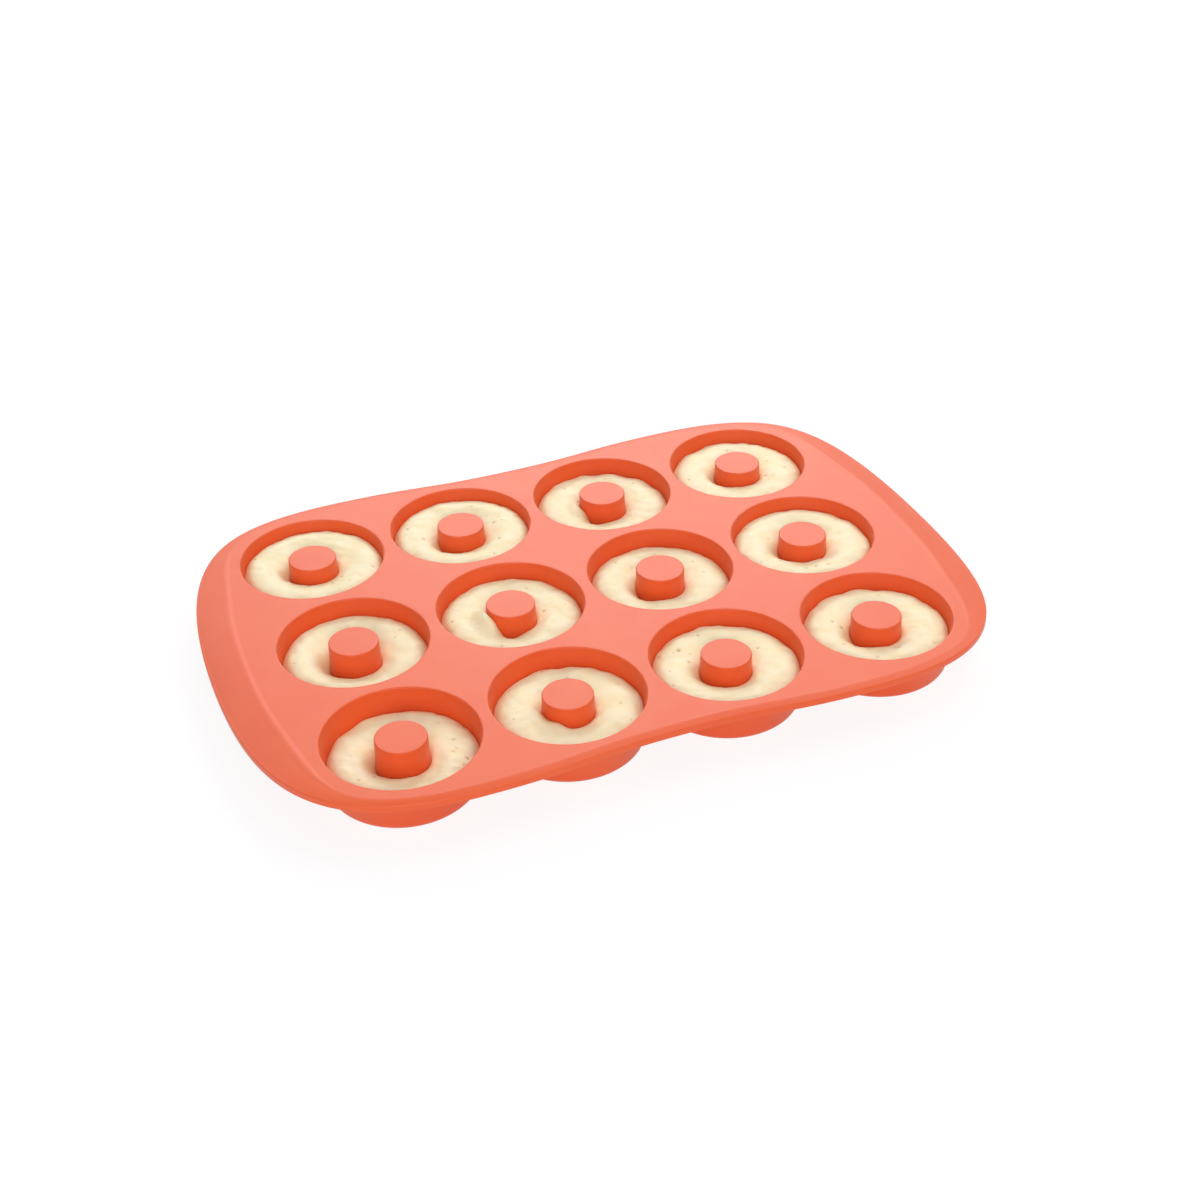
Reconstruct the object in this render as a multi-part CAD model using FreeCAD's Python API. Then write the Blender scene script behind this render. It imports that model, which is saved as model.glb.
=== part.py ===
import FreeCAD, Part
import math
import os

from FreeCAD import Vector

# Flexible silicone pan for twelve small ring cakes, filled with batter. Millimetres, +Z up.
# The origin is on the surface that the pan stands on, under the middle of the pan.
# X runs along the pan from grip to grip, Y across it.
# Rows count from the front (-Y), columns from the left (-X).
# The silicone is one moulding: its nodes are the moulding's regions, which meet face to face.

# Cup grid
COLUMNS = 4
ROWS = 3
CUP_GAP = 2.6  # between neighbouring cups, at the deck

# Cup
HEIGHT = 23.5  # standing surface to the top of the deck
MOUTH_RADIUS = 34.4  # inside, at the top of the deck
DRAFT_DEG = 8.0  # lean of the cup's wall
WALL = 1.8
FLOOR = 1.8
FLOOR_ROUND = 3.0  # inside, from wall to floor
MOUTH_ROUND = 0.7  # edge between the wall and the deck

# Centre post, hollow from below
POST_TOP_RADIUS = 11.4
POST_DRAFT_DEG = 1.6
POST_WALL = 1.8
POST_CROWN = 2.0  # thickness of the post's closed top
POST_ROUND = 0.5  # edge of the post's top

# Deck and the bead along its long sides
DECK = 2.0  # thickness of the web between the cups
EDGE = 2.6  # thickness of the bead and of the grips
EDGE_WIDTH = 3.2
END_MARGIN = 28.8  # outer cup's rim to the tip of a grip
SIDE_MARGIN = 9.8  # outer cup's rim to the long side, where that is widest
WAIST = 5.0  # how far the long side draws in at its middle
SHOULDER_INSET = 23.5  # widest point of a long side, inside the last column's centre
CORNER_MARGIN = 12.8  # corner cup's rim to the middle of the corner's curve
CORNER_ANGLE_DEG = 26.7  # direction of that middle from the cup, up from the X axis

# Grips
GRIP_WIDTH = 14.5  # rib to tip, at the middle of the end
GRIP_DROP = 5.2  # how far the grip's tip lies below the deck
GRIP_START = 0.42  # share of the corner's curve where the grip begins
RIB_WIDTH = 4.0
RIB_RISE = 0.7
RIB_END_SHARE = 0.3  # share of the rib's width and rise that is left at its two ends
GRIP_STATIONS = 9  # points along half a grip's curves

# Batter: how far below the deck it meets the wall, a row at a time from the front
BATTER_DROPS = (
    (12.0, 10.2, 9.0, 9.0),
    (9.6, 9.4, 10.0, 7.8),
    (7.0, 7.2, 9.4, 8.3),
)
BATTER_CROWN = 2.2  # crest of the ring above its edge at the wall
BATTER_DIP = 1.3  # edge at the post below the edge at the wall
BATTER_CLEARANCE = 0.3  # all round, so that the ring lifts freely

# Sizes that follow
deck_z = HEIGHT
rim_outer = MOUTH_RADIUS + WALL
pitch = 2 * rim_outer + CUP_GAP
last_column_x = (COLUMNS - 1) / 2 * pitch
last_row_y = (ROWS - 1) / 2 * pitch
half_length = last_column_x + rim_outer + END_MARGIN
half_width = last_row_y + rim_outer + SIDE_MARGIN
shoulder_x = last_column_x - SHOULDER_INSET
draft = math.tan(math.radians(DRAFT_DEG))
post_draft = math.tan(math.radians(POST_DRAFT_DEG))
post_base = POST_TOP_RADIUS + (HEIGHT - FLOOR) * post_draft
collar_z = HEIGHT - max(DECK, EDGE)  # below this the cup's outside leans
rib_scale = (half_length - GRIP_WIDTH) / half_length
corner_reach = rim_outer + CORNER_MARGIN
corner_x = last_column_x + corner_reach * math.cos(math.radians(CORNER_ANGLE_DEG))
corner_y = last_row_y + corner_reach * math.sin(math.radians(CORNER_ANGLE_DEG))
# Shares that the corner's curve holds to the long side and to the end, so that its middle is there
corner_hold_x = (8 * corner_x - 4 * (shoulder_x + half_length)) / (3 * (half_length - shoulder_x))
corner_hold_y = (8 * corner_y / half_width - 4) / 3


def wall_radius(z):
    """Inside radius of the cup's leaning wall at height z."""
    return MOUTH_RADIUS - (HEIGHT - z) * draft


def post_radius(z):
    """Outside radius of the post at height z."""
    return POST_TOP_RADIUS + (HEIGHT - max(z, FLOOR)) * post_draft


def bezier(poles):
    curve = Part.BezierCurve()
    curve.setPoles([Vector(x, y, 0) for x, y in poles])
    return curve


def corner_poles(inset, sign_x=1, sign_y=1):
    """Corner of the outline, from the widest point of a long side to the middle of an end."""
    x0, y0 = shoulder_x, half_width - inset
    x1, y1 = half_length - inset, 0.0
    hold_x = x0 + corner_hold_x * (x1 - x0)
    hold_y = corner_hold_y * y0
    points = [(x0, y0), (hold_x, y0), (x1, hold_y), (x1, y1)]
    return [(sign_x * x, sign_y * y) for x, y in points]


def side_poles(inset, sign_x=1, sign_y=1):
    """Half a long side, from the drawn-in middle to its widest point."""
    y0, y1 = half_width - WAIST - inset, half_width - inset
    middle = shoulder_x / 2
    points = [(0, y0), (middle, y0), (middle, y1), (shoulder_x, y1)]
    return [(sign_x * x, sign_y * y) for x, y in points]


def outline_face(inset, z):
    """The pan's outline, drawn in by inset, as a flat face at height z."""
    edges = []
    for sx, sy in ((1, 1), (1, -1), (-1, -1), (-1, 1)):
        pair = [bezier(side_poles(inset, sx, sy)), bezier(corner_poles(inset, sx, sy))]
        edges += [curve.toShape() for curve in pair]
    wire = Part.Wire(Part.__sortEdges__(edges))
    wire.translate(Vector(0, 0, z))
    return Part.Face(wire)


def revolved(points, round_at=None):
    """Solid of revolution about Z from (radius, height) corners. round_at gives a corner a radius."""
    corners = [Vector(r, 0, z) for r, z in points]
    face = Part.Face(Part.makePolygon(corners + corners[:1]))
    solid = face.revolve(Vector(0, 0, 0), Vector(0, 0, 1), 360)
    for (r, z), radius in (round_at or {}).items():
        rings = [e for e in solid.Edges if is_ring(e, r, z)]
        solid = solid.makeFillet(radius, rings)
    return solid


def is_ring(edge, radius, z):
    if not isinstance(edge.Curve, Part.Circle):
        return False
    return abs(edge.Curve.Radius - radius) < 1e-4 and abs(edge.Curve.Center.z - z) < 1e-4


def cup():
    """Ring-shaped well: leaning wall, rounded foot and flat floor, open in the middle for the post."""
    inner_foot = wall_radius(FLOOR)
    outer_foot = inner_foot + WALL - FLOOR * draft
    points = [
        (post_base, 0), (outer_foot, 0), (rim_outer, collar_z), (rim_outer, deck_z),
        (MOUTH_RADIUS, deck_z), (inner_foot, FLOOR), (post_base, FLOOR),
    ]
    rounds = {
        (outer_foot, 0): FLOOR_ROUND + WALL / 2,
        (inner_foot, FLOOR): FLOOR_ROUND,
        (MOUTH_RADIUS, deck_z): MOUTH_ROUND,
    }
    return revolved(points, rounds)


def post():
    """Hollow post in the middle of a cup, closed at the top and open below."""
    inner_base = post_base - POST_WALL
    inner_top = POST_TOP_RADIUS - POST_WALL
    points = [
        (inner_base, 0), (post_base, 0), (post_base, FLOOR), (POST_TOP_RADIUS, HEIGHT),
        (0, HEIGHT), (0, HEIGHT - POST_CROWN), (inner_top, HEIGHT - POST_CROWN),
    ]
    return revolved(points, {(POST_TOP_RADIUS, HEIGHT): POST_ROUND})


def batter(drop):
    """Ring of batter that follows the cup's wall, floor and post, with a crowned top."""
    gap = BATTER_CLEARANCE
    low = FLOOR + gap
    edge_z = HEIGHT - drop
    inner_z = edge_z - BATTER_DIP
    foot = FLOOR_ROUND
    outer_low, outer_top = wall_radius(low) - gap, wall_radius(edge_z) - gap
    inner_low, inner_top = post_radius(low) + gap, post_radius(inner_z) + gap
    middle = (outer_top + inner_top) / 2
    crest = edge_z + BATTER_CROWN
    corner = [Vector(r, 0, z) for r, z in (
        (inner_top, inner_z), (inner_low, low), (outer_low - foot, low),
        (outer_low + foot * draft, low + foot), (outer_top, edge_z),
    )]
    sunk = foot * (1 - math.cos(math.pi / 4))
    foot_middle = Vector(outer_low - sunk, 0, low + sunk)
    edges = [
        Part.makeLine(corner[0], corner[1]),
        Part.makeLine(corner[1], corner[2]),
        Part.Arc(corner[2], foot_middle, corner[3]).toShape(),
        Part.makeLine(corner[3], corner[4]),
        Part.Arc(corner[4], Vector(middle, 0, crest), corner[0]).toShape(),
    ]
    face = Part.Face(Part.Wire(edges))
    return face.revolve(Vector(0, 0, 0), Vector(0, 0, 1), 360)


def rib_share(swell):
    """Share of the rib's full width and rise, from its ends (swell 0) to its middle (swell 1)."""
    return RIB_END_SHARE + (1 - RIB_END_SHARE) * swell


def grip_points(scale, rib_side, z_at):
    """Points of one curve along a grip, front to back: the end's outline, scaled along X.
    rib_side is -1 or 1 for an edge of the rib, and 0 elsewhere."""
    curve = bezier(corner_poles(0))
    shares = [GRIP_START + (1 - GRIP_START) * i / GRIP_STATIONS for i in range(GRIP_STATIONS + 1)]
    back = []
    for share in shares:
        p = curve.value(share)
        swell = (1 - math.cos(math.pi * (share - GRIP_START) / (1 - GRIP_START))) / 2
        x = p.x * scale + rib_side * RIB_WIDTH / 2 * rib_share(swell)
        back.append(Vector(x, p.y, z_at(swell)))
    front = [Vector(p.x, -p.y, p.z) for p in back[:-1]]
    return front + back[::-1]


def grip_curve(points):
    curve = Part.BSplineCurve()
    curve.interpolate(Points=points, Parameters=list(range(len(points))))
    return curve.toShape()


def grip_lines():
    """Curves of a grip's section, from the deck over the rib to the tip and back underneath."""
    def rib_foot_drop(s):
        return GRIP_DROP * s * rib_share(s) * RIB_WIDTH / 2 / GRIP_WIDTH

    lines = [
        (rib_scale, -1, lambda s: deck_z),
        (rib_scale, 0, lambda s: deck_z + RIB_RISE * rib_share(s)),
        (rib_scale, 1, lambda s: deck_z - rib_foot_drop(s)),
        (1.0, 0, lambda s: deck_z - GRIP_DROP * s),
        (1.0, 0, lambda s: deck_z - GRIP_DROP * s - EDGE),
        (rib_scale, 1, lambda s: deck_z - rib_foot_drop(s) - EDGE),
        (rib_scale, -1, lambda s: deck_z - EDGE),
    ]
    return [grip_curve(grip_points(*line)) for line in lines]


def grip():
    """Right-hand grip: a drooping crescent with a rib along its inner edge."""
    lines = grip_lines()
    faces = [Part.makeRuledSurface(a, b) for a, b in zip(lines, lines[1:] + lines[:1])]
    for end in (0, -1):
        corners = [line.Vertexes[end].Point for line in lines]
        faces.append(Part.Face(Part.makePolygon(corners + corners[:1])))
    shell = Part.makeShell(faces)
    shell.sewShape()
    solid = Part.makeSolid(shell)
    if solid.Volume < 0:
        solid.reverse()
    return solid


def grip_region():
    """Upright prism over a grip's footprint, which the deck and the bead leave free."""
    inner = grip_curve(grip_points(rib_scale, -1, lambda s: 0.0))
    first, last = inner.Vertexes[0].Point, inner.Vertexes[-1].Point
    beyond = half_length + GRIP_WIDTH
    edges = [
        inner,
        Part.makeLine(last, Vector(beyond, last.y, 0)),
        Part.makeLine(Vector(beyond, last.y, 0), Vector(beyond, first.y, 0)),
        Part.makeLine(Vector(beyond, first.y, 0), first),
    ]
    return Part.Face(Part.Wire(edges)).extrude(Vector(0, 0, 2 * HEIGHT))


def mirrored(shape):
    return shape.mirror(Vector(0, 0, 0), Vector(1, 0, 0))


def cup_centres():
    for row in range(ROWS):
        for column in range(COLUMNS):
            yield row, column, Vector(column * pitch - last_column_x, row * pitch - last_row_y, 0)


def deck():
    """Web between the cups, with a round hole for each cup."""
    region = grip_region()
    plate = outline_face(EDGE_WIDTH, deck_z - DECK).extrude(Vector(0, 0, DECK))
    holes = [Part.makeCylinder(rim_outer, 2 * HEIGHT, centre) for _, _, centre in cup_centres()]
    return plate.cut([region, mirrored(region), *holes]).removeSplitter()


def edge_beads():
    """Thicker bead along the two long sides, front then back."""
    region = grip_region()
    blank = outline_face(0, deck_z - EDGE).extrude(Vector(0, 0, EDGE))
    core = outline_face(EDGE_WIDTH, deck_z - EDGE).extrude(Vector(0, 0, EDGE))
    beads = blank.cut([core, region, mirrored(region)])
    return sorted(beads.Solids, key=lambda s: s.CenterOfMass.y)


def placed(shape, centre):
    moved = shape.copy()
    moved.translate(centre)
    return moved


def build():
    """All nodes by name."""
    right_grip = grip()
    front_bead, back_bead = edge_beads()
    nodes = {
        "deck": deck(),
        "edge_bead_front": front_bead,
        "edge_bead_back": back_bead,
        "grip_right": right_grip,
        "grip_left": mirrored(right_grip),
    }
    one_cup, one_post = cup(), post()
    for row, column, centre in cup_centres():
        name = f"r{row + 1}c{column + 1}"
        nodes[f"cup_{name}"] = placed(one_cup, centre)
        nodes[f"post_{name}"] = placed(one_post, centre)
        nodes[f"batter_{name}"] = placed(batter(BATTER_DROPS[row][column]), centre)
    return nodes


def main():
    os.makedirs("parts", exist_ok=True)
    for name, shape in build().items():
        solids = shape.Solids
        if len(solids) != 1 or not solids[0].isValid():
            raise ValueError(f"{name} is not one valid solid")
        solids[0].exportStep(f"parts/{name}.step")
        print(f"{name}: {solids[0].Volume / 1000:.2f} cm3")


main()
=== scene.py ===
import math

import bpy
import numpy as np
from mathutils import Matrix, Vector


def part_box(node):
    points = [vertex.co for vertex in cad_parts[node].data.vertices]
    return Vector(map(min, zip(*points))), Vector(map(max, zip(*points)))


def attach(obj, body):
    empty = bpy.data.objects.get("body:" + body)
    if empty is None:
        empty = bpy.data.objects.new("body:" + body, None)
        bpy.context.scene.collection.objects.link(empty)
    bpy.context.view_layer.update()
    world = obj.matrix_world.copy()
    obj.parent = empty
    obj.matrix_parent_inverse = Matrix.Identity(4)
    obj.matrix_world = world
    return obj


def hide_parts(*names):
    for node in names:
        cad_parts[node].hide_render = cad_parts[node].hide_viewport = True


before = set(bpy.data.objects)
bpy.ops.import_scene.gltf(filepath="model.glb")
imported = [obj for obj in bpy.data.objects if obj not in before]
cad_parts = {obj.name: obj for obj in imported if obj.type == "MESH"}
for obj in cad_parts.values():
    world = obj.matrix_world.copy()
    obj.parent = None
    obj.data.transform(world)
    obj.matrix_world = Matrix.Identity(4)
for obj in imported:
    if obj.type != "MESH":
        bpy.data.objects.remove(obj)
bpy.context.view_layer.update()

mm = 0.001
sharpFrom = math.radians(42)
columns = 4
rows = 3
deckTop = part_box("deck")[1].z
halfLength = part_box("grip_right")[1].x
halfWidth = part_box("edge_bead_back")[1].y
cupNames = [f"r{row + 1}c{column + 1}" for row in range(rows) for column in range(columns)]


def cupCentre(name):
    low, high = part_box("cup_" + name)
    return np.array([(low.x + high.x) / 2, (low.y + high.y) / 2])


centres = {name: cupCentre(name) for name in cupNames}
pitch = centres["r1c2"][0] - centres["r1c1"][0]
rimOuter = (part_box("cup_r1c1")[1].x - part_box("cup_r1c1")[0].x) / 2
postBase = (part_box("post_r1c1")[1].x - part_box("post_r1c1")[0].x) / 2

print("frame loaded")

# small tools


def smooth(low, high, x):
    # 0 below low, 1 above high, and 3t^2 - 2t^3 between
    t = np.clip((x - low) / (high - low), 0, 1)
    return t * t * (3 - 2 * t)


def bezierCurve(poles, t):
    # point and direction of a cubic Bezier curve at each t
    p0, p1, p2, p3 = (np.array(p, float) for p in poles)
    t = np.asarray(t)[:, None]
    u = 1 - t
    point = u**3 * p0 + 3 * u**2 * t * p1 + 3 * u * t**2 * p2 + t**3 * p3
    along = 3 * u**2 * (p1 - p0) + 6 * u * t * (p2 - p1) + 3 * t**2 * (p3 - p2)
    return point, along


def roundedProfile(corners, arcSteps=7, spacing=2.5 * mm, guard=0.12 * mm):
    # straight runs between corners (radius, height, rounding), with a tangent arc in each corner
    # an arc starts rounding * tan(half the turn) before its corner
    points = [np.array(corners[0][:2])]
    for before, corner, after in zip(corners, corners[1:], corners[2:]):
        p, q, n = (np.array(c[:2], float) for c in (before, corner, after))
        into = (q - p) / np.linalg.norm(q - p)
        away = (n - q) / np.linalg.norm(n - q)
        turn = math.acos(np.clip(into @ away, -1, 1))
        if corner[2] == 0 or turn < 1e-6:
            points.append(q)
            continue
        start = q - into * corner[2] * math.tan(turn / 2)
        inward = (away - into * math.cos(turn)) / math.sin(turn)
        angle = np.linspace(0, turn, arcSteps)[:, None]
        arc = start + corner[2] * (into * np.sin(angle) + inward * (1 - np.cos(angle)))
        points.extend(arc)
    points.append(np.array(corners[-1][:2]))
    dense = [points[0]]
    for a, b in zip(points, points[1:]):
        length = np.linalg.norm(b - a)
        if length > 4 * guard:
            inner = np.linspace(guard, length - guard, max(2, int(length / spacing) + 1))
            dense.extend(a + (b - a) / length * step for step in inner)
        dense.append(b)
    return np.array(dense)


def revolve(profile, centre, around):
    # point = centre + radius * (cos, sin), at the profile's height
    angle = np.linspace(-0.75 * math.pi, 1.25 * math.pi, around, endpoint=False)[:, None]
    x = centre[0] + profile[:, 0] * np.cos(angle)
    y = centre[1] + profile[:, 0] * np.sin(angle)
    z = np.broadcast_to(profile[:, 1], x.shape)
    return np.stack([x, y, z], axis=-1)


def waves(x, y, seed, length, count=26):
    # sum of sine waves in random directions, with wavelengths around the given one
    chance = np.random.default_rng(seed)
    angle = chance.uniform(0, 2 * math.pi, count)
    number = 2 * math.pi / (length * chance.uniform(0.7, 1.4, count))
    phase = chance.uniform(0, 2 * math.pi, count)
    kx, ky = number * np.cos(angle), number * np.sin(angle)
    total = np.sin(x[..., None] * kx + y[..., None] * ky + phase).sum(-1)
    return total / math.sqrt(count / 2)


def gridFaces(countU, countV, start, closeU):
    # two triangles for each cell of a grid whose point (u, v) has the index start + u * countV + v
    u = np.arange(countU if closeU else countU - 1)
    v = np.arange(countV - 1)
    u, v = np.meshgrid(u, v, indexing="ij")
    nextU = (u + 1) % countU
    a, b = u * countV + v, nextU * countV + v
    c, d = b + 1, a + 1
    return np.stack([a, b, c, a, c, d], axis=-1).reshape(-1, 3) + start


def weld(points, triangles):
    # points closer than a tenth of a micrometre become one, and triangles that this closes up go
    keys = np.round(points * 1e7).astype(np.int64)
    _, first, inverse = np.unique(keys, axis=0, return_index=True, return_inverse=True)
    triangles = inverse.reshape(-1)[triangles]
    a, b, c = triangles.T
    return points[first], triangles[(a != b) & (b != c) & (c != a)]


def makePiece(name, blocks, material, body, replaced, marks=None):
    # blocks are (grid of points, closed around U, turned over)
    # the finished shell is turned so that the volume it holds is positive, so faces point outwards
    points, triangles, start = [], [], 0
    for grid, closeU, turned in blocks:
        cells = gridFaces(grid.shape[0], grid.shape[1], start, closeU)
        triangles.append(cells[:, ::-1] if turned else cells)
        points.append(grid.reshape(-1, 3))
        start += grid.shape[0] * grid.shape[1]
    points, triangles = weld(np.concatenate(points), np.concatenate(triangles))
    a, b, c = (points[triangles[:, k]] for k in range(3))
    if np.einsum("ij,ij->i", a, np.cross(b, c)).sum() < 0:
        triangles = triangles[:, ::-1]
    mesh = bpy.data.meshes.new(name)
    mesh.vertices.add(len(points))
    mesh.vertices.foreach_set("co", points.astype(np.float32).ravel())
    mesh.loops.add(triangles.size)
    mesh.loops.foreach_set("vertex_index", triangles.astype(np.int32).ravel())
    mesh.polygons.add(len(triangles))
    mesh.polygons.foreach_set("loop_start", np.arange(0, triangles.size, 3, dtype=np.int32))
    mesh.update(calc_edges=True)
    mesh.validate()
    mesh.shade_smooth()
    mesh.set_sharp_from_angle(angle=sharpFrom)
    for mark, values in (marks(points) if marks else {}).items():
        layer = mesh.attributes.new(mark, "FLOAT", "POINT")
        layer.data.foreach_set("value", values.astype(np.float32))
    mesh.materials.append(material)
    piece = bpy.data.objects.new(name, mesh)
    bpy.context.scene.collection.objects.link(piece)
    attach(piece, body)
    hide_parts(*replaced)
    return piece


# shader maths


class Value:
    # an output socket that can be multiplied
    def __init__(self, shader, socket):
        self.shader = shader
        self.socket = socket

    def __mul__(self, other):
        return self.shader.node("ShaderNodeMath", {"operation": "MULTIPLY"}, {0: self, 1: other})

    __rmul__ = __mul__


class Shader:
    def __init__(self, name):
        self.material = bpy.data.materials.new(name)
        self.material.use_nodes = True
        self.tree = self.material.node_tree
        self.tree.nodes.clear()

    def node(self, kind, settings=None, sockets=None, output=0):
        # settings first, then values or links of the sockets, by name or number
        made = self.tree.nodes.new(kind)
        for key, value in (settings or {}).items():
            setattr(made, key, value)
        for key, value in (sockets or {}).items():
            if isinstance(value, Value):
                self.tree.links.new(value.socket, made.inputs[key])
            else:
                made.inputs[key].default_value = value
        return Value(self, made.outputs[output])

    def noise(self, place, scale, detail=3.0, roughness=0.5):
        sockets = {"Vector": place, "Scale": scale, "Detail": detail, "Roughness": roughness}
        return self.node("ShaderNodeTexNoise", None, sockets)

    def between(self, value, low, high, start=0.0, end=1.0):
        # value from low..high becomes start..end, smoothly, and stays inside it
        sockets = {"Value": value, "From Min": low, "From Max": high, "To Min": start, "To Max": end}
        return self.node("ShaderNodeMapRange", {"interpolation_type": "SMOOTHSTEP"}, sockets)

    def mix(self, factor, colourA, colourB):
        sockets = {0: factor, 6: colourA, 7: colourB}
        return self.node("ShaderNodeMix", {"data_type": "RGBA"}, sockets, output=2)

    def finish(self, surface):
        out = self.tree.nodes.new("ShaderNodeOutputMaterial")
        self.tree.links.new(surface.socket, out.inputs["Surface"])
        return self.material


def shade(red, green, blue):
    # a colour as written on screen, 0 to 255, in the renderer's linear numbers
    written = np.array([red, green, blue]) / 255
    linear = np.where(written <= 0.04045, written / 12.92, ((written + 0.055) / 1.055) ** 2.4)
    return tuple(float(c) for c in linear)


# silicone

silicone = {
    "colour": shade(234, 94, 40),
    "mottle": shade(233, 90, 38),
    "roughness": 0.44,
    "roughnessSpread": 0.01,
    "grain": 0.12,
    "grainDepth": 0.03 * mm,
    "cloudScale": 22,
    "dullScale": 90,
    "grainScale": 2600,
}


def siliconeMaterial(look):
    paint = Shader("silicone")
    place = paint.node("ShaderNodeTexCoord", output=3)
    cloud = paint.noise(place, look["cloudScale"], 2)
    fine = paint.noise(place, look["grainScale"], 3)
    dull = paint.noise(place, look["dullScale"], 4)
    low, high = (look["roughness"] + side * look["roughnessSpread"] for side in (-1, 1))
    colour = paint.mix(paint.between(cloud, 0.35, 0.65), (*look["colour"], 1), (*look["mottle"], 1))
    bump = {"Height": fine, "Strength": look["grain"], "Distance": look["grainDepth"]}
    normal = paint.node("ShaderNodeBump", None, bump)
    surface = paint.node("ShaderNodeBsdfPrincipled", None, {
        "Base Color": colour,
        "Roughness": paint.between(dull, 0.3, 0.7, low, high),
        "Normal": normal,
        "IOR": 1.5,
    })
    return paint.finish(surface)


siliconePaint = siliconeMaterial(silicone)

# deck, with its edge and its two grips

deck = {
    "underDeck": 2.0 * mm,
    "edge": 3.5 * mm,
    "waist": 5.0 * mm,
    "shoulderInset": 23.5 * mm,
    "cornerMargin": 12.8 * mm,
    "cornerAngle": math.radians(26.7),
    "edgeRound": 0.55 * mm,
    "lowerRound": 0.5 * mm,
    "sideRoll": 0.9 * mm,
    "gripDrop": 5.2 * mm,
    "gripRibAt": 14.6 * mm,
    "ribHalf": 3.0 * mm,
    "sideRibHalf": 0.6 * mm,
    "ribMargin": 0.4 * mm,
    "ribRise": 0.18 * mm,
    "flare": 1.0 * mm,
    "sideRibAt": 3.6 * mm,
    "ribMoves": (0.28, 0.80),
    "ribGrows": (0.38, 0.66),
    "dropStart": 0.36,
    "dropInside": 0.3,
    "dropCurve": 1.6,
    "perSide": 24,
    "ringSteps": 7,
    "ringSpread": 1.3,
    "ribPoints": 15,
    "gripPoints": 11,
    "roundPoints": 8,
}
around = 4 * deck["perSide"]
lastX, lastY = centres["r3c4"]
shoulderX = lastX - deck["shoulderInset"]
cornerReach = rimOuter + deck["cornerMargin"]
cornerX = lastX + cornerReach * math.cos(deck["cornerAngle"])
cornerY = lastY + cornerReach * math.sin(deck["cornerAngle"])


def quarterOutline(g):
    # from the middle of the back (g = 0) over the widest point (1) to the tip of the right grip (2)
    # two Bezier curves: half a long side, and a corner whose own middle is at (cornerX, cornerY)
    g = np.asarray(g, float)
    waistY = halfWidth - deck["waist"]
    half = shoulderX / 2
    side = [(0, waistY), (half, waistY), (half, halfWidth), (shoulderX, halfWidth)]
    holdX = (8 * cornerX - 4 * (shoulderX + halfLength)) / 3
    holdY = (8 * cornerY - 4 * halfWidth) / 3
    corner = [(shoulderX, halfWidth), (shoulderX + holdX, halfWidth), (halfLength, holdY), (halfLength, 0)]
    sidePoint, sideAlong = bezierCurve(side, np.clip(g, 0, 1))
    cornerPoint, cornerAlong = bezierCurve(corner, np.clip(g - 1, 0, 1))
    onSide = (g < 1)[:, None]
    point = np.where(onSide, sidePoint, cornerPoint)
    along = np.where(onSide, sideAlong, cornerAlong)
    along /= np.linalg.norm(along, axis=1)[:, None]
    outward = np.stack([-along[:, 1], along[:, 0]], axis=1)
    return point, outward


def gripShape(g):
    # how far in from the edge the rib runs, its half width, its share of its height,
    # and the grip's share of its drop
    t = g - 1
    start = deck["dropStart"]
    ribAt = deck["sideRibAt"] + (deck["gripRibAt"] - deck["sideRibAt"]) * smooth(*deck["ribMoves"], t)
    ribShare = smooth(*deck["ribGrows"], t)
    ribHalf = deck["sideRibHalf"] + (deck["ribHalf"] - deck["sideRibHalf"]) * ribShare
    dropShare = (1 - np.cos(math.pi * np.clip((t - start) / (1 - start), 0, 1))) / 2
    return ribAt, ribHalf, ribShare, dropShare


def innerEdge(g):
    # the line where the flat deck begins, just inside the rib
    point, outward = quarterOutline(g)
    ribAt, ribHalf, _, _ = gripShape(g)
    inset = ribAt + ribHalf + deck["ribMargin"]
    return point - outward * inset[:, None], inset


def quarterSteps():
    # steps along the quarter, with the cells' corners at x = pitch, at the corner and at y = pitch / 2
    table = np.linspace(0, 2, 4001)
    line, _ = innerEdge(table)
    atColumn = np.interp(pitch, line[:, 0], table)
    direction = np.arctan2(line[:, 1] - lastY, line[:, 0] - lastX)
    nearCorner = (table > atColumn) & (line[:, 1] > lastY / 2)
    atCorner = np.interp(-math.pi / 4, -direction[nearCorner], table[nearCorner])
    atRow = np.interp(-pitch / 2, -line[:, 1], table)
    n = deck["perSide"]
    spans = [(0, atColumn, n), (atColumn, atCorner, n), (atCorner, atRow, n), (atRow, 2, n // 2)]
    return np.concatenate([np.linspace(a, b, k, endpoint=False) for a, b, k in spans] + [[2.0]])


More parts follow.
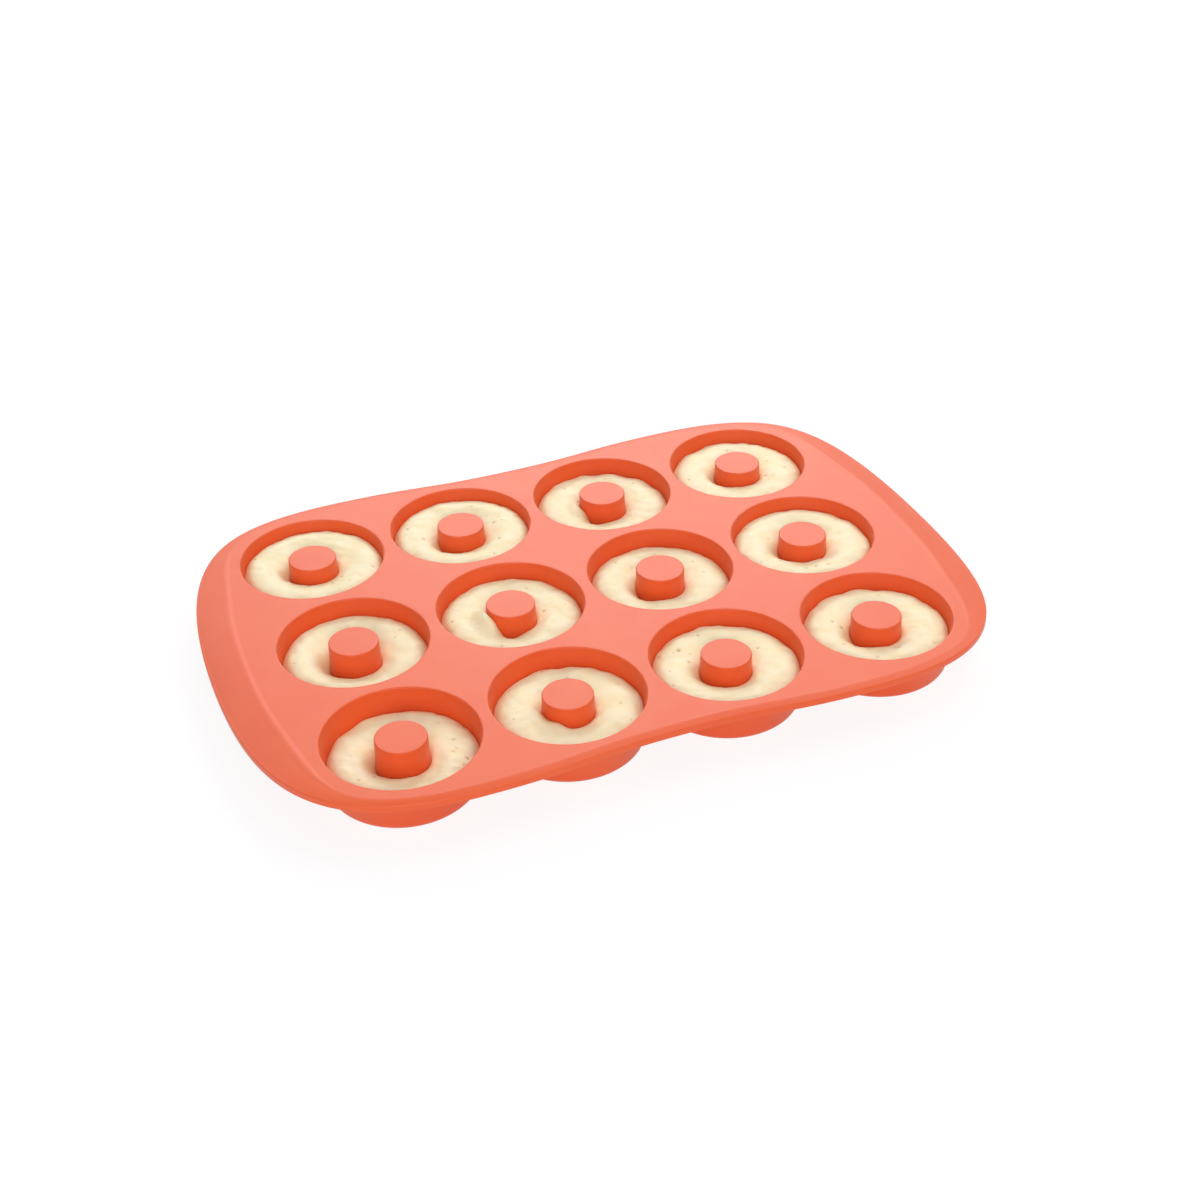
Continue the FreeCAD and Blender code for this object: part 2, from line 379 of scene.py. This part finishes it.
def edgeSection(g):
    # rows of points over the rib, down to the tip, round the edge and back underneath
    point, outward = quarterOutline(g)
    ribAt, ribHalf, ribShare, dropShare = (a[:, None] for a in gripShape(g))
    _, inset = innerEdge(g)
    inset = inset[:, None]
    edgeRound, lowerRound = deck["edgeRound"], deck["lowerRound"]
    overRib = inset + (ribAt - ribHalf - inset) * np.linspace(0, 1, deck["ribPoints"])
    acrossGrip = np.linspace(0, 1, deck["gripPoints"])[1:]
    overGrip = ribAt - ribHalf + (edgeRound - ribAt + ribHalf) * acrossGrip
    quarter = np.linspace(0, math.pi / 2, deck["roundPoints"])[1:]
    overEdge = edgeRound * (1 - np.sin(quarter)) + 0 * inset
    underEdge = lowerRound * (1 - np.cos(quarter)) + 0 * inset
    flatIn = np.concatenate([overRib, overGrip], axis=1)
    underIn = np.concatenate([overGrip[:, ::-1][:, 1:], overRib[:, ::-1]], axis=1)

    def height(distance):
        # the deck's height, plus the rib's hump (1 - u^2)^2, less the droop towards the tip
        u = np.clip((distance - ribAt) / ribHalf, -1, 1)
        hump = deck["ribRise"] * ribShare * (1 - u**2) ** 2
        dropAt = ribAt + deck["dropInside"] * ribHalf
        share = np.clip((dropAt - distance) / dropAt, 0, 1)
        drop = deck["sideRoll"] + (deck["gripDrop"] - deck["sideRoll"]) * dropShare
        return deckTop + hump - drop * share ** deck["dropCurve"]

    lip = height(np.full_like(inset, edgeRound))
    upper = np.concatenate([flatIn, overEdge], axis=1)
    upperZ = np.concatenate([height(flatIn), lip - edgeRound * (1 - np.cos(quarter))], axis=1)
    thick = deck["underDeck"] + (deck["edge"] - deck["underDeck"]) * smooth(0, 1, 1 - underIn / inset)
    lower = np.concatenate([underEdge, underIn], axis=1)
    base = lip - deck["edge"]
    underZ = height(underIn) - thick
    lowerZ = np.concatenate([base + lowerRound * (1 - np.sin(quarter)), underZ], axis=1)
    distance = np.concatenate([upper, lower], axis=1)
    z = np.concatenate([upperZ, lowerZ], axis=1)
    flat = point[:, None, :] - outward[:, None, :] * distance[..., None]
    return np.concatenate([flat, z[..., None]], axis=-1)


def wholeEdge():
    # the quarter and its three mirror images, clockwise from the middle of the back
    quarter = edgeSection(quarterSteps())
    acrossY = (quarter * [1, -1, 1])[::-1][1:]
    acrossBoth = (quarter * [-1, -1, 1])[1:]
    acrossX = (quarter * [-1, 1, 1])[::-1][1:-1]
    return np.concatenate([quarter, acrossY, acrossBoth, acrossX])


def cellRing(column, row, line):
    # counterclockwise round one cell, from its front left corner
    # a side on the pan's border follows that line, any other side is straight
    order = [(2, 3), (3, 3), (4, 3), (4, 2), (4, 1), (4, 0), (3, 0), (2, 0), (1, 0),
             (0, 0), (0, 1), (0, 2), (0, 3), (1, 3)]
    place = {corner: k * deck["perSide"] for k, corner in enumerate(order)}
    n = deck["perSide"]

    def cornerPoint(corner):
        if corner in place:
            return line[place[corner]]
        return np.array([(corner[0] - columns / 2) * pitch, (corner[1] - rows / 2) * pitch])

    corners = [(column, row), (column + 1, row), (column + 1, row + 1), (column, row + 1)]
    sides = []
    for a, b in zip(corners, corners[1:] + corners[:1]):
        if a in place and b in place and (place[a] - place[b]) % len(line) == n:
            sides.append(line[(place[a] - np.arange(n)) % len(line)])
        else:
            sides.append(cornerPoint(a) + (cornerPoint(b) - cornerPoint(a)) * np.arange(n)[:, None] / n)
    return np.concatenate(sides)


def deckBlocks():
    # the whole edge, and for each cup a top and a bottom ring and the leaning wall that joins their rims
    # a ring goes from rim to cell along straight lines: rim + (cell - rim) * share
    edge = wholeEdge()
    line, underLine = edge[:, 0], edge[:, -1]
    blocks = [(edge, True, False)]
    share = np.linspace(0, 1, deck["ringSteps"])[None, :, None] ** deck["ringSpread"]
    for name in cupNames:
        row, column = int(name[1]) - 1, int(name[3]) - 1
        holes = []
        sides = [(line, rimOuter, deckTop),
                 (underLine, rimOuter + deck["flare"], deckTop - deck["underDeck"])]
        for border, radius, z in sides:
            hole = revolve(np.array([[radius, z]]), centres[name], around)
            ring = cellRing(column, row, border[:, :2])
            ring = np.concatenate([ring, np.full((around, 1), z)], axis=1)[:, None]
            blocks.append((hole + (ring - hole) * share, True, z == deckTop))
            holes.append(hole)
        blocks.append((np.concatenate(holes, axis=1), True, False))
    return blocks


bead = ["edge_bead_front", "edge_bead_back", "grip_left", "grip_right"]
deckPiece = makePiece("deck_and_grips", deckBlocks(), siliconePaint, "pan", ["deck", *bead])
print("deck made:", len(deckPiece.data.polygons), "faces")

# cups with their centre posts

cup = {
    "mouth": 34.4 * mm,
    "draft": math.tan(math.radians(8)),
    "wall": 1.8 * mm,
    "floor": 1.8 * mm,
    "postTop": 11.4 * mm,
    "postWall": 1.8 * mm,
    "crown": 2.0 * mm,
    "mouthRound": 0.7 * mm,
    "footRound": 3.0 * mm,
    "postRound": 0.55 * mm,
    "postFoot": 1.2 * mm,
    "neckGap": 0.05 * mm,
    "neckRound": 0.9 * mm,
    "hollowFoot": 0.6 * mm,
    "hollowTop": 1.0 * mm,
}


def cupProfile():
    # from the middle of the post's top, over the floor and the mouth, and back underneath
    foot = cup["mouth"] - (deckTop - cup["floor"]) * cup["draft"]
    outerFoot = foot + cup["wall"] - cup["floor"] * cup["draft"]
    under = deckTop - deck["underDeck"]
    neck = rimOuter + cup["neckGap"]
    return roundedProfile([
        (0, deckTop, 0),
        (cup["postTop"], deckTop, cup["postRound"]),
        (postBase, cup["floor"], cup["postFoot"]),
        (foot, cup["floor"], cup["footRound"]),
        (cup["mouth"], deckTop, cup["mouthRound"]),
        (rimOuter, deckTop, 0),
        (rimOuter + deck["flare"], under, 0),
        (neck, under, cup["neckRound"]),
        (outerFoot, 0, cup["footRound"] + cup["wall"] / 2),
        (postBase - cup["postWall"], 0, cup["hollowFoot"]),
        (cup["postTop"] - cup["postWall"], deckTop - cup["crown"], cup["hollowTop"]),
        (0, deckTop - cup["crown"], 0),
    ])


profile = cupProfile()
for name in cupNames:
    blocks = [(revolve(profile, centres[name], around), True, False)]
    cupPiece = makePiece("cup_and_post_" + name, blocks, siliconePaint, "pan",
                         ["cup_" + name, "post_" + name])
print("cups made:", len(cupPiece.data.polygons), "faces each")

# batter, poured into each cup to its own level

batter = {
    "colour": shade(250, 239, 202),
    "warm": shade(249, 235, 191),
    # painted shade and painted warm bounce light in the post's recess and along the wall and the post
    "paintedShadeColour": shade(226, 184, 120),
    # painted shade inside the burst bubbles' pits
    "pitShadeColour": shade(202, 160, 92),
    "roughness": 0.5,
    "roughnessSpread": 0.06,
    "cloudScale": 130,
    "speckScale": 700,
    "grainScale": 420,
    "grain": 0.22,
    "grainDepth": 0.2 * mm,
    "gap": 0.06 * mm,
    "heel": 1.3 * mm,
    "crown": 2.2 * mm,
    "puff": 3.3 * mm,
    "crevice": 1.5 * mm,
    "creviceReach": 2.4 * mm,
    "creviceAt": 190,
    "creviceSpread": 50,
    "domePowers": (2.5, 0.68),
    "pitWidth": (0.3 * mm, 0.75 * mm),
    "pitDepth": (0.4, 0.9),
    "pitInset": (2.0 * mm, 3.5 * mm),
    "dipFrom": 0.3,
    "edgeShade": 0.3,
    "edgeShadeReach": 3.0 * mm,
    "recessShade": 0.75,
    "recessShadeReach": 4.0 * mm,
    "recessShadeSpread": 1.3,
    "recessReach": 4.6 * mm,
    "heapReach": 5.5 * mm,
    "around": 240,
    "across": 46,
    "sidePoints": 7,
    "floorPoints": 8,
}
# height and length in millimetres of the lumps and of the grain, largest first
lumps = [(0.2, 17), (0.09, 7), (0.025, 3.2), (0.01, 1.4)]
# dip: fall from the wall to the post
# recess: depth, direction in degrees and spread of the low place beside the post
# heap: height, direction and spread of batter that lies up against the post
# hole: radius, direction and width of a large burst bubble
pours = {
    "r1c1": {"dip": 1.7, "recess": (2.7, 175, 32), "lean": (0.0, -0.3), "pits": 9, "seed": 11,
             "hole": (28.3, 331, 0.9)},
    "r1c2": {"dip": 0.6, "recess": (1.7, 200, 30), "lean": (0.2, -0.2), "pits": 8, "seed": 12,
             "heap": (4.4, 205, 40)},
    "r1c3": {"dip": 1.4, "recess": (1.5, 190, 34), "lean": (0.0, 0.0), "pits": 12, "seed": 13,
             "hole": (23.4, 131, 1.0)},
    "r1c4": {"dip": 1.1, "recess": (2.5, 195, 30), "lean": (0.2, 0.0), "pits": 14, "seed": 14,
             "hole": (15.2, 153, 0.8)},
    "r2c1": {"dip": 3.2, "recess": (2.3, 185, 36), "lean": (-0.3, 0.0), "pits": 7, "seed": 21},
    "r2c2": {"dip": 0.9, "recess": (2.0, 251, 19), "lean": (0.0, 0.2), "pits": 8, "seed": 22,
             "heap": (7.6, 186, 38)},
    "r2c3": {"dip": 1.0, "recess": (3.0, 200, 30), "lean": (-0.4, 0.0), "pits": 12, "seed": 23},
    "r2c4": {"dip": 1.9, "recess": (1.9, 185, 30), "lean": (0.0, 0.0), "pits": 10, "seed": 24},
    "r3c1": {"dip": 1.8, "recess": (2.3, 180, 30), "lean": (0.0, 0.0), "pits": 8, "seed": 31},
    "r3c2": {"dip": 2.0, "recess": (2.7, 215, 26), "lean": (0.0, 0.0), "pits": 9, "seed": 32},
    "r3c3": {"dip": 1.6, "recess": (2.2, 232, 20), "lean": (-0.2, 0.0), "pits": 10, "seed": 33,
             "heap": (4.8, 182, 31)},
    "r3c4": {"dip": 0.2, "recess": (2.5, 190, 32), "lean": (0.0, 0.2), "pits": 9, "seed": 34},
}


def wallRadius(z):
    # the inside of the cup leans outwards by its draft from the floor to the mouth
    return cup["mouth"] - (deckTop - z) * cup["draft"]


def postRadius(z):
    # the post narrows evenly from the floor to its top
    return cup["postTop"] + (postBase - cup["postTop"]) * (deckTop - z) / (deckTop - cup["floor"])


def pitPlaces(pour):
    # places, widths and depths of the burst bubbles in one ring, by chance apart from the large one
    chance = np.random.default_rng(pour["seed"] + 500)
    count = pour["pits"]
    angle = chance.uniform(0, 2 * math.pi, count)
    fromPost, fromWall = batter["pitInset"]
    radius = chance.uniform(cup["postTop"] + fromPost, cup["mouth"] - fromWall, count)
    width = chance.uniform(*batter["pitWidth"], count)
    depth = width * chance.uniform(*batter["pitDepth"], count)
    if "hole" in pour:
        holeRadius, direction, holeWidth = pour["hole"]
        radius = np.append(radius, holeRadius * mm)
        angle = np.append(angle, math.radians(direction))
        width = np.append(width, holeWidth * mm)
        depth = np.append(depth, holeWidth * mm)
    return radius * np.cos(angle), radius * np.sin(angle), width, depth


def pitShares(x, y, pour):
    # a bell-shaped dent for each burst bubble
    px, py, width, _ = pitPlaces(pour)
    return np.exp(-((x[..., None] - px) ** 2 + (y[..., None] - py) ** 2) / width**2)


def beside(place, angle, fromPost, reach, power=2):
    # height of a low or high place beside the post, greatest in its direction and fading over its reach
    height, direction, spread = place
    off = (np.degrees(angle) - direction + 180) % 360 - 180
    return height * mm * np.exp(-np.abs(off / spread) ** power - (fromPost / reach) ** 2)


def unevenness(x, y, pour):
    # long soft lumps, short ones and a fine grain, plus a lean to one side and less the pits
    seeds = range(pour["seed"], pour["seed"] + 400, 100)
    rough = sum(height * waves(x, y, seed, length * mm) for (height, length), seed in zip(lumps, seeds))
    lean = (pour["lean"][0] * x + pour["lean"][1] * y) / cup["mouth"]
    pits = (pitShares(x, y, pour) * pitPlaces(pour)[3]).sum(-1)
    return (rough + lean) * mm - pits


def batterGrid(name):
    # top from the wall (s = 0) to the post (s = 1), then down the post, along the floor and up the wall
    # top = level at the wall, falling by the dip, plus puff * (1 - |2s - 1|^p)^q, less the recess
    # and the crevice along the left of the wall, plus the heap, each a bell-shaped place
    pour = pours[name]
    gap = batter["gap"]
    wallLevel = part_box("batter_" + name)[1].z - batter["crown"]
    postLevel = wallLevel - pour["dip"] * mm
    angle = np.linspace(0, 2 * math.pi, batter["around"], endpoint=False)[:, None]
    cos, sin = np.cos(angle), np.sin(angle)
    outer = wallRadius(wallLevel)
    fromLeft = (np.degrees(angle) - batter["creviceAt"]) / batter["creviceSpread"]
    crevice = batter["crevice"] * np.exp(-(fromLeft**2))
    outer = wallRadius(wallLevel + unevenness(outer * cos, outer * sin, pour) - crevice) - gap
    heap = pour.get("heap", (0, 0, 1))
    rise = beside(heap, angle, 0, 1, 4) - beside(pour["recess"], angle, 0, 1)
    inner = postRadius(postLevel + rise) + gap
    s = (1 - np.cos(np.linspace(0, math.pi, batter["across"]))) / 2
    radius = outer + (inner - outer) * s
    x, y = radius * cos, radius * sin
    p, q = batter["domePowers"]
    dome = np.maximum(0, 1 - np.abs(2 * s - 1) ** p) ** q
    fromPost, fromWall = radius - inner, outer - radius
    recess = beside(pour["recess"], angle, fromPost, batter["recessReach"])
    heaped = beside(heap, angle, fromPost, batter["heapReach"], 4)
    top = wallLevel + (postLevel - wallLevel) * smooth(batter["dipFrom"], 1, s) + batter["puff"] * dome
    top = top + unevenness(x, y, pour) * (1 - 0.5 * smooth(0.9, 1, s)) - recess + heaped
    top = top - crevice * np.exp(-((fromWall / batter["creviceReach"]) ** 2))
    low = cup["floor"] + gap
    v = np.linspace(0, 1, batter["sidePoints"])[1:]
    heel = batter["heel"]
    downZ = top[:, -1:] + (low + heel - top[:, -1:]) * v
    downR = postRadius(downZ) + gap
    footRound = cup["footRound"]
    lean = math.atan(cup["draft"])
    sweep = np.linspace(0, math.pi / 2 - lean, batter["sidePoints"])
    footZ = low + footRound * (1 - np.cos(sweep))
    footMiddle = wallRadius(footZ[-1]) - gap - footRound * math.sin(sweep[-1])
    footR = footMiddle + footRound * np.sin(sweep)
    alongFloor = np.linspace(0, 1, batter["floorPoints"])[:-1]
    floorR = postBase + heel + (footMiddle - postBase - heel) * alongFloor
    flat = np.concatenate([floorR, footR])
    flatZ = np.concatenate([np.full(floorR.shape, low), footZ])
    upZ = footZ[-1] + (top[:, :1] - footZ[-1]) * v
    upR = wallRadius(upZ) - gap
    upR[:, -1:] = radius[:, :1]
    every = np.ones_like(angle)
    r = np.concatenate([radius, downR, every * flat, upR], axis=1)
    z = np.concatenate([top, downZ, every * flatZ, upZ], axis=1)
    cx, cy = centres[name]
    return np.stack([cx + r * cos, cy + r * sin, z], axis=-1)


def batterMarks(name):
    # how deep in a pit, and how far in the shade of the wall, the post or its recess, each point lies;
    # these masks place the painted shade there, and the painted warm bounce light from the walls
    def marks(points):
        x, y = (points[:, :2] - centres[name]).T
        radius, angle = np.hypot(x, y), np.arctan2(y, x)
        fromPost = radius - cup["postTop"]
        _, direction, spread = pours[name]["recess"]
        place = (1 / mm, direction, batter["recessShadeSpread"] * spread)
        recess = beside(place, angle, fromPost, batter["recessShadeReach"])
        reach = batter["edgeShadeReach"]
        edge = np.maximum(smooth(reach, 0, fromPost), smooth(reach, 0, cup["mouth"] - radius))
        paintedShade = np.maximum(batter["recessShade"] * recess, batter["edgeShade"] * edge)
        return {"pit": pitShares(x, y, pours[name]).max(-1), "paintedShade": paintedShade}
    return marks


def batterMaterial(look):
    paint = Shader("batter")
    place = paint.node("ShaderNodeTexCoord", output=3)
    pit = paint.node("ShaderNodeAttribute", {"attribute_name": "pit"}, output=2)
    cloud = paint.noise(place, look["cloudScale"], 4)
    speck = paint.noise(place, look["speckScale"], 3)
    low, high = (look["roughness"] + side * look["roughnessSpread"] for side in (-1, 1))
    cream = paint.mix(paint.between(cloud, 0.38, 0.64), (*look["colour"], 1), (*look["warm"], 1))
    # painted shade: a darker, warmer colour in the post's recess and along the wall and the post, where
    # shade and bounce light from the walls fall
    paintedShade = paint.node("ShaderNodeAttribute", {"attribute_name": "paintedShade"}, output=2)
    creamWithPaintedShade = paint.mix(paintedShade, cream, (*look["paintedShadeColour"], 1))
    # painted shade: a darker brown in each pit, by its pit mask
    colour = paint.mix(pit * 0.8, creamWithPaintedShade, (*look["pitShadeColour"], 1))
    grain = paint.noise(place, look["grainScale"], 5, 0.6)
    bump = {"Height": grain, "Strength": look["grain"], "Distance": look["grainDepth"]}
    surface = paint.node("ShaderNodeBsdfPrincipled", None, {
        "Base Color": colour,
        "Roughness": paint.between(speck, 0.3, 0.7, low, high),
        "Normal": paint.node("ShaderNodeBump", None, bump),
        "Subsurface Weight": 0.12,
        "Subsurface Radius": (1.0, 0.7, 0.4),
        "Subsurface Scale": 1.2 * mm,
        "IOR": 1.4,
    })
    return paint.finish(surface)


batterPaint = batterMaterial(batter)
for name in cupNames:
    blocks = [(batterGrid(name), True, False)]
    ring = makePiece("batter_ring_" + name, blocks, batterPaint, "batter_" + name,
                     ["batter_" + name], batterMarks(name))
print("batter made:", len(ring.data.polygons), "faces each")

# floor, light and camera

stage = {
    "floorSize": 6.0,
    "floorDepth": 0.2 * mm,
    "floorColour": shade(250, 250, 250),
    "floorShow": 0.82,
    "floorGlow": 1.06,
    "skyDiffuse": 0.29,
    "skySeen": 1.1,
}


def floorMaterial(look):
    # a pale floor that keeps part of the shadow in the camera's eyes
    paint = Shader("floor")
    rays = [paint.node("ShaderNodeLightPath", output=k) for k in (0, 3)]
    seen = paint.node("ShaderNodeMath", {"operation": "MAXIMUM"}, {0: rays[0], 1: rays[1]})
    plain = paint.node("ShaderNodeBsdfDiffuse", None, {"Color": (*look["floorColour"], 1)})
    glow = paint.node("ShaderNodeEmission", None, {"Strength": look["floorGlow"]})
    sockets = {0: seen * look["floorShow"], 1: plain, 2: glow}
    return paint.finish(paint.node("ShaderNodeMixShader", None, sockets))


def makeFloor():
    half = stage["floorSize"] / 2
    low = -stage["floorDepth"]
    corners = [(-half, -half, low), (half, -half, low), (half, half, low), (-half, half, low)]
    mesh = bpy.data.meshes.new("floor")
    mesh.from_pydata(corners, [], [(0, 1, 2, 3)])
    mesh.materials.append(floorMaterial(stage))
    floor = bpy.data.objects.new("floor", mesh)
    bpy.context.scene.collection.objects.link(floor)


def makeSky():
    world = bpy.data.worlds.new("sky")
    bpy.context.scene.world = world
    world.use_nodes = True
    nodes, links = world.node_tree.nodes, world.node_tree.links
    nodes.clear()
    rays = nodes.new("ShaderNodeLightPath")
    direct = nodes.new("ShaderNodeMath")
    direct.operation = "MAXIMUM"
    links.new(rays.outputs["Is Camera Ray"], direct.inputs[0])
    links.new(rays.outputs["Is Glossy Ray"], direct.inputs[1])
    strength = nodes.new("ShaderNodeMapRange")
    strength.inputs["To Min"].default_value = stage["skyDiffuse"]
    strength.inputs["To Max"].default_value = stage["skySeen"]
    links.new(direct.outputs[0], strength.inputs["Value"])
    sky = nodes.new("ShaderNodeBackground")
    sky.inputs["Color"].default_value = (1, 1, 1, 1)
    links.new(strength.outputs[0], sky.inputs["Strength"])
    out = nodes.new("ShaderNodeOutputWorld")
    links.new(sky.outputs[0], out.inputs["Surface"])


lamps = {
    "back": {"heading": 22, "height": 31.5, "distance": 2.2, "size": (1.2, 0.7), "power": 15.5},
    "left": {"heading": -18, "height": 31, "distance": 2.2, "size": (1.4, 0.7), "power": 7},
    "right": {"heading": 78, "height": 52, "distance": 1.9, "size": (1.4, 1.4), "power": 13},
    "front": {"heading": 200, "height": 25, "distance": 2.2, "size": (1.6, 1.2), "power": 24},
}


def makeLamp(name, lamp):
    # on a sphere round the pan, by heading from +Y towards +X and height above the floor, facing the pan
    heading, height = math.radians(lamp["heading"]), math.radians(lamp["height"])
    level = math.cos(height)
    away = Vector((math.sin(heading) * level, math.cos(heading) * level, math.sin(height)))
    facing = away.to_track_quat("Z", "Y").to_matrix().to_4x4()
    light = bpy.data.lights.new(name, "AREA")
    light.shape = "RECTANGLE"
    light.size, light.size_y = lamp["size"]
    light.energy = lamp["power"]
    item = bpy.data.objects.new(name, light)
    item.matrix_world = Matrix.Translation(away * lamp["distance"]) @ facing
    bpy.context.scene.collection.objects.link(item)


camera = {
    "place": (-250.4 * mm, -686.9 * mm, deckTop + 490.8 * mm),
    "heading": 20.52,
    "down": 34.33,
    "roll": -1.70,
    "lens": 56.45,
}


def makeCamera():
    # looks along its heading (from +Y towards +X), tipped down, then rolled about its own axis
    lens = bpy.data.cameras.new("camera")
    lens.lens = camera["lens"]
    lens.sensor_width = 36
    item = bpy.data.objects.new("camera", lens)
    turn = (Matrix.Rotation(-math.radians(camera["heading"]), 4, "Z")
            @ Matrix.Rotation(math.radians(90 - camera["down"]), 4, "X")
            @ Matrix.Rotation(math.radians(camera["roll"]), 4, "Z"))
    item.matrix_world = Matrix.Translation(camera["place"]) @ turn
    bpy.context.scene.collection.objects.link(item)
    bpy.context.scene.camera = item


makeFloor()
makeSky()
for name, lamp in lamps.items():
    makeLamp(name, lamp)
makeCamera()
bpy.context.scene.view_settings.view_transform = "Standard"
print("stage set")
